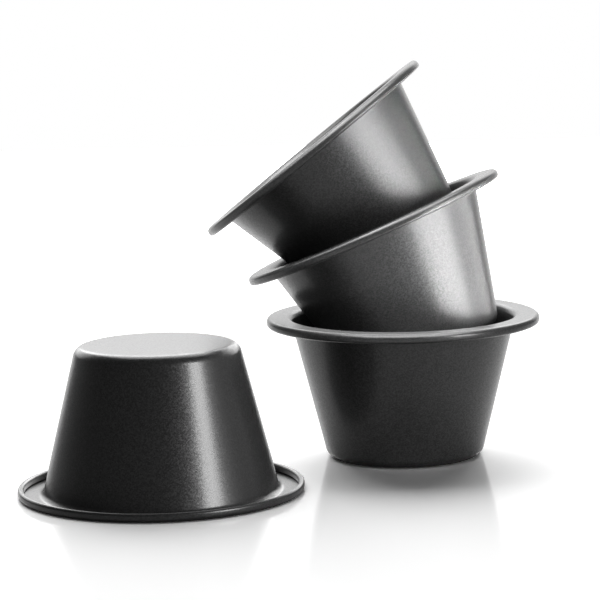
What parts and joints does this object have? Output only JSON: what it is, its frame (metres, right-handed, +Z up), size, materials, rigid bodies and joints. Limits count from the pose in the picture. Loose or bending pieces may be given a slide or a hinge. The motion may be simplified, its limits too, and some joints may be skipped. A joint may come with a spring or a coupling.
{
  "type": "flan mould",
  "caption": "Flan moulds of dark coated steel: tapered cups with a wide flat lip and a rolled edge, in a leaning stack with one turned over beside it.",
  "frame": {"origin": "middle of the bottom mould's base, on the table", "axes": "+Z up, +X to the viewer's right, +Y away from the viewer"},
  "size_m": [0.178, 0.1665, 0.1368],
  "materials": {
    "coating": "dark grey satin non-stick coating with very fine metallic flakes"
  },
  "bodies": {
    "bottom_mould": {"bottom_mould": "coating"},
    "middle_mould": {"middle_mould": "coating"},
    "top_mould": {"top_mould": "coating"},
    "upturned_mould": {"upturned_mould": "coating"}
  },
  "joints": [
    {"name": "middle_mould_lift", "type": "slide", "parent": "bottom_mould", "child": "middle_mould", "axis": [0, 0, 1], "range_m": [0, 0.06]},
    {"name": "top_mould_lift", "type": "slide", "parent": "middle_mould", "child": "top_mould", "axis": [0, 0, 1], "range_m": [0, 0.06]},
    {"name": "upturned_mould_lift", "type": "slide", "parent": "bottom_mould", "child": "upturned_mould", "axis": [0, 0, 1], "range_m": [0, 0.06]}
  ]
}
